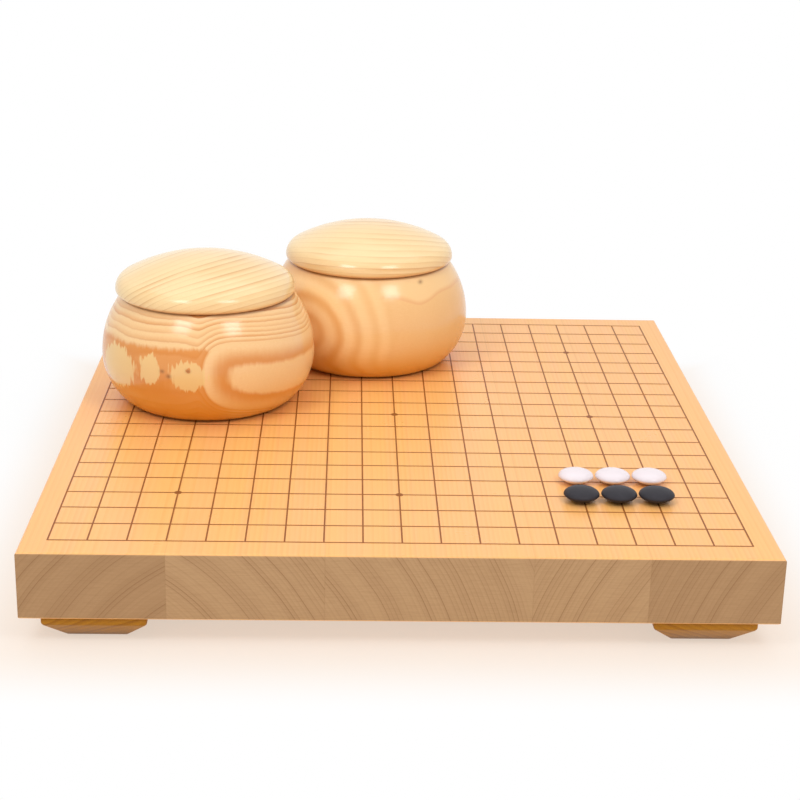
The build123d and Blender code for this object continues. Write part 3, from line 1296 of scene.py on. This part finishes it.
@dataclass
class Bowl:
    """One turned bowl with a flat lip, a hollow under its base and a rounded inside."""

    side: Side
    finish: TurnedWood
    belly_height: float = 0.034
    base_radius: float = 0.0535
    mouth_radius: float = 0.0574
    wall: float = 0.008
    floor: float = 0.008
    floor_radius: float = 0.038
    base_hollow_radius: float = 0.044
    base_hollow_depth: float = 0.0015
    hollow_round: Triple = (0.0006, 0.0004, 0.0002)
    rim_round: float = 0.0012
    base_turn: tuple[float, float] = (1.6, 0.5)
    base_turn_rise: float = 0.0003
    lip_inset: tuple[float, float] = (0.86, 1.1)
    lip_start: float = 22.0
    lip_steps: int = 5
    lower_steps: int = 14
    upper_steps: int = 16
    steps: int = 144

    def outline(self, belly: float, height: float) -> Outline:
        """The bowl's outline from the middle of its underside to the middle of its floor.

        Args:
            belly: The belly's radius.
            height: The bowl's height.

        Returns:
            Radius and height of each point.
        """
        hollow, depth = self.base_hollow_radius, self.base_hollow_depth
        corner_in, corner_down, corner_out = self.hollow_round
        turn_in, turn_out = (self.base_radius - share * self.rim_round for share in self.base_turn)
        mouth, lower, upper = (self.mouth_radius, height), self.lower_steps, self.upper_steps
        inner_mouth, inner_belly = self.mouth_radius - self.wall, belly - self.wall
        inner_floor = (self.floor_radius, self.floor)
        up_to_belly = belly_arc(belly, self.belly_height, (self.base_radius, 0.0), lower)[::-1]
        to_mouth = belly_arc(belly, self.belly_height, mouth, upper)[1:]
        down = belly_arc(inner_belly, self.belly_height, (inner_mouth, height), upper)[::-1]
        inside = belly_arc(inner_belly, self.belly_height, inner_floor, lower)[1:]
        return [
            (0.0, depth),
            (hollow - corner_in, depth),
            (hollow, depth - corner_down),
            (hollow + corner_out, 0.0),
            (turn_in, 0.0),
            (turn_out, self.base_turn_rise),
            *up_to_belly[1:],
            *to_mouth[:-1],
            *self.lip(self.mouth_radius, inner_mouth, height),
            *down[1:],
            *inside,
            (0.0, self.floor),
        ]

    def lip(self, outer: float, inner: float, height: float) -> Outline:
        """The flat lip with its two rounded edges.

        Args:
            outer: The radius of its outer edge.
            inner: The radius of its inner edge.
            height: How high it is.

        Returns:
            Its points from outside to inside.
        """
        rim, steps = self.rim_round, self.lip_steps
        from_outer, from_inner = self.lip_inset
        start = radians(self.lip_start)
        outside = arc((outer - rim * from_outer, height - rim), rim, start, pi / 2, steps)
        inside = arc((inner + rim * from_inner, height - rim), rim, pi / 2, pi, steps)
        return outside + inside

    def build(self) -> None:
        """Model the bowl in place of its CAD node."""
        node = f"bowl_{self.side.value}"
        radius, height = piece_size(node)
        outline = self.outline(round(radius, 3), height)
        material = self.finish.material()
        piece = turned(f"turned_{node}", outline, piece_middle(node), self.steps, material)
        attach(piece, node)
        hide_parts(node)


@dataclass
class Lid:
    """One turned lid: a low dome with a rounded edge, a spigot below and a dished inside."""

    side: Side
    finish: TurnedWood
    edge: float = 0.0033
    edge_steps: int = 6
    shoulder: float = 0.0105
    wall: float = 0.007
    spigot_depth: float = 0.004
    spigot_radius: float = 0.047
    spigot_wall: float = 0.005
    break_edge: float = 0.0005
    dish_steps: int = 10
    dome_steps: int = 14
    steps: int = 144

    def outline(self, radius: float, height: float) -> Outline:
        """The lid's outline from the middle of its dish round to the middle of its top.

        Args:
            radius: The lid's radius.
            height: Its height with the spigot, which starts at height 0.

        Returns:
            Radius and height of each point.
        """
        seat, spigot, soft = self.spigot_depth, self.spigot_radius, self.break_edge
        rim = seat + self.edge
        dish_radius = spigot - self.spigot_wall
        dish = dome(dish_radius, height - self.wall, self.shoulder, 0.0, self.dish_steps)[::-1]
        under_edge = arc((radius - self.edge, rim), self.edge, -pi / 2, 0.0, self.edge_steps)
        return [
            *dish[:-1],
            (dish_radius + soft, 0.0),
            (spigot - soft, 0.0),
            (spigot, soft),
            (spigot, seat),
            *under_edge[:-1],
            *dome(radius, height - rim, self.shoulder, rim, self.dome_steps),
        ]

    def build(self) -> None:
        """Model the lid in place of its CAD node."""
        node = f"lid_{self.side.value}"
        radius, height = piece_size(node)
        outline = self.outline(round(radius, 4), height)
        material = self.finish.material()
        piece = turned(f"turned_{node}", outline, piece_middle(node), self.steps, material)
        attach(piece, node)
        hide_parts(node)


# ---------------------------------------------------------------- stones


@dataclass
class Stones:
    """Rounded lens-shaped stones of one colour: a row on the board and a few in a bowl."""

    colour: StoneColour
    in_row: int = 3
    profile_steps: int = 16
    flatness: float = 1.5
    steps: int = 64

    def outline(self, radius: float, thickness: float) -> Outline:
        """A stone's outline from the middle of its underside to the middle of its top.

        Args:
            radius: The stone's radius at its edge.
            thickness: Its thickness in the middle.

        Returns:
            Radius and height of each point.
        """
        half, steps, flat = thickness / 2, self.profile_steps, self.flatness
        angles = [pi / 2 * step / steps for step in range(steps + 1)]
        under = [(radius * sin(angle), half - half * cos(angle) ** flat) for angle in angles]
        over = [(radius * cos(angle), half + half * sin(angle)) for angle in angles[1:]]
        return under + over

    def build(self) -> None:
        """Model the row of stones, and dress those that lie in the bowl."""
        material = STONE_FINISHES[self.colour].material()
        for number in range(1, self.in_row + 1):
            node = f"{self.colour.value}_stone_{number}"
            outline = self.outline(*piece_size(node))
            piece = turned(f"polished_{node}", outline, piece_middle(node), self.steps, material)
            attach(piece, node)
            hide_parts(node)
        Board.paint(f"{self.colour.value}_stones_in_bowl", material)


# ---------------------------------------------------------------- the studio


@dataclass(frozen=True)
class Lamp:
    """One soft square lamp that points at the board: its place, its side and its watts."""

    name: str
    place: Triple
    side: float
    power: float
    aim: Triple = (0.0, 0.05, 0.06)

    def hang(self) -> None:
        """Hang the lamp."""
        data = bpy.data.lights.new(self.name, "AREA")
        data.shape = "RECTANGLE"
        data.size = data.size_y = self.side
        data.energy = self.power
        lamp = bpy.data.objects.new(self.name, data)
        bpy.context.scene.collection.objects.link(lamp)
        lamp.location = self.place
        towards = Vector(self.aim) - Vector(self.place)
        lamp.rotation_euler = towards.to_track_quat("-Z", "Y").to_euler()


@dataclass
class Studio:
    """A white floor, soft overhead lamps and the camera at the photograph's angle."""

    floor_side: float = 14.0
    floor_grey: float = 0.92
    floor_roughness: float = 0.6
    # Near the board the floor glows in a warm tint, a painted glow of light bounced from the board.
    painted_floor_glow: Colour = (255, 238, 222)
    painted_floor_glow_span: tuple[float, float] = (0.215, 0.28)
    glow_span: tuple[float, float] = (0.215, 0.31)
    glow_by_board: float = 0.66
    depth_share: float = 0.92
    room_light: float = 0.5
    lamps: tuple[Lamp, ...] = (
        Lamp("overhead", (0.0, 0.1, 1.7), 2.2, 13.0),
        Lamp("front_left", (-0.8, -1.05, 1.35), 0.55, 7.0),
        Lamp("front_right", (0.72, -1.05, 1.35), 0.55, 7.0),
    )
    camera_place: Triple = (-0.03124, -1.12409, 0.45995)
    camera_turn: Triple = (70.733, -1.1875, -1.3563)
    lens: float = 79.74
    sensor_width: float = 36.0
    clip_end: float = 50.0

    def build(self) -> None:
        """Set up the floor, the world, the lamps and the camera."""
        self.floor()
        self.world()
        for lamp in self.lamps:
            lamp.hang()
        self.camera()
        bpy.context.scene.view_settings.view_transform = "Standard"

    def floor(self) -> None:
        """Lay a plain pale floor that the camera sees as white apart from soft shadows, with a
        painted warm glow of light bounced from the board near it that lightens those shadows.
        """
        nothing_selected()
        bpy.ops.mesh.primitive_plane_add(size=self.floor_side, location=(0.0, 0.0, 0.0))
        floor = bpy.context.object
        floor.name = "floor"
        material, nodes, surface, place = blank_material("floor_white")
        grey = (self.floor_grey, self.floor_grey, self.floor_grey, 1.0)
        nodes.fill(surface, Base_Color=grey, Roughness=self.floor_roughness)
        across, along, _ = (nodes.math("ABSOLUTE", part) for part in nodes.axes(place))
        away = nodes.math("MAXIMUM", across, nodes.times(along, self.depth_share))
        # Painted light: near the board the camera sees part glow and part lit floor, so the shadows
        # there come out lighter and warm.
        lit = nodes.smooth(away, *self.glow_span, self.glow_by_board, 1.0)
        share = nodes.times(lit, ray_is(nodes, "Camera", "Glossy"))
        far = nodes.smooth(away, *self.painted_floor_glow_span)
        glow = nodes.add("Emission", nodes.mix(far, linear(self.painted_floor_glow), (1.0, 1.0, 1.0, 1.0)))
        both = nodes.add("MixShader", share, surface.outputs[0], glow.outputs[0])
        output = next(node for node in nodes.tree.nodes if node.type == "OUTPUT_MATERIAL")
        nodes.fill(output, Surface=both.outputs[0])
        floor.data.materials.append(material)

    def world(self) -> None:
        """Light the room evenly, and show the camera and polished surfaces a white room."""
        world = bpy.data.worlds.new("room")
        bpy.context.scene.world = world
        world.use_nodes = True
        world.node_tree.nodes.clear()
        nodes = Nodes(world.node_tree)
        seen = ray_is(nodes, "Camera", "Glossy", "Transmission")
        strength = nodes.smooth(seen, 0.0, 1.0, self.room_light, 1.0)
        background = nodes.add("Background", (1.0, 1.0, 1.0, 1.0), strength)
        nodes.add("OutputWorld", background.outputs[0])

    def camera(self) -> None:
        """Place the camera where the photograph was taken from."""
        data = bpy.data.cameras.new("camera")
        data.lens = self.lens
        data.sensor_width = self.sensor_width
        data.clip_end = self.clip_end
        camera = bpy.data.objects.new("camera", data)
        bpy.context.scene.collection.objects.link(camera)
        camera.location = self.camera_place
        camera.rotation_euler = tuple(radians(value) for value in self.camera_turn)
        bpy.context.scene.camera = camera


# ---------------------------------------------------------------- the whole set


def bowl_finishes() -> dict[Side, TurnedWood]:
    """The figured wood of the two bowls.

    Returns:
        A finish for each side.
    """
    left = EyeWood(
        name="left_bowl_pine",
        middle=piece_middle("bowl_left"),
        law=RingLaw(
            0.00265, 0.0034, 34.0, core_radius=0.025, core_width=0.014, sense=-1.0, ragged=0.14,
            turn=0.8,
        ),
        pale=(250, 212, 156),
        dark=(220, 138, 54),
        warm=(244, 192, 130),
        line=(186, 106, 56),
        line_share=0.42,
        heart_and_bounce_share=0.75,
        islands=(
            Swell((-56.5, -43.0, 35.0), (14.0, 30.0, 15.5)),
            Swell((-32.5, -62.0, 39.5), (6.2, 20.0, 10.0)),
            Swell((-8.0, -70.0, 37.0), (12.0, 16.0, 10.5)),
            Swell((-7.8, -71.0, 40.7), (2.0, 8.0, 2.0), -0.8),
        ),
        knots=((-24.9, -67.2, 39.2), (-20.6, -68.8, 36.3), (-7.8, -71.0, 40.7)),
    )
    right = ArchWood(
        name="right_bowl_pine",
        middle=piece_middle("bowl_right"),
        law=RingLaw(
            0.013, 0.005, 24.0, core_radius=0.0055, sense=-1.0, ragged=0.1, turn=0.55
        ),
        pale=(254, 216, 158),
        dark=(224, 154, 72),
        warm=(244, 192, 118),
        line=(226, 148, 86),
        late_share=0.85,
        line_share=0.0,
        heart_and_bounce_share=0.8,
        swells=(Swell((0.0, 0.0, -12.0), (300.0, 300.0, 15.0), 5.0),),
        knots=((35.7, -48.7, 70.5),),
    )
    return {Side.LEFT: left, Side.RIGHT: right}


def lid_finish(side: Side, law: RingLaw, pith: Triple, lean: float) -> TurnedWood:
    """The paler, plainer wood of one lid.

    Args:
        side: Which bowl the lid is on.
        law: Its rings' widths and wander.
        pith: Where its pith lay, in millimetres.
        lean: How far the trunk is turned from the board's width, in degrees.

    Returns:
        The finish.
    """
    return TurnedWood(
        name=f"{side.value}_lid_pine",
        middle=piece_middle(f"lid_{side.value}"),
        law=law,
        pale=(249, 219, 164),
        dark=(220, 160, 92),
        warm=(246, 204, 144),
        pith=pith,
        turn=(0.0, 90.0, lean),
        late_share=0.6,
        weakest=0.12,
        warm_share=0.35,
        # Painted shade on the rim's underside, where the lid overhangs the bowl.
        painted_contact_shade=(178, 100, 44),
        painted_contact_shade_share=0.5,
        contact_shade_foot=4.4,
    )


def main() -> None:
    """Build and dress every piece of the set, then the studio round it."""
    logging.basicConfig(level=logging.INFO, format="%(name)s: %(message)s")
    Board().dress()
    Feet().build()
    bowls = bowl_finishes()
    lids = {
        Side.LEFT: lid_finish(
            Side.LEFT, RingLaw(0.0034, 0.006, 12.0), (82.0, -69.0, -150.0), 50.0
        ),
        Side.RIGHT: lid_finish(
            Side.RIGHT, RingLaw(0.0036, 0.007, 16.0), (0.0, -85.0, -235.0), -2.0
        ),
    }
    for side in Side:
        Bowl(side, bowls[side]).build()
        Lid(side, lids[side]).build()
    for colour in StoneColour:
        Stones(colour).build()
    Studio().build()


if __name__ == "__main__":
    main()
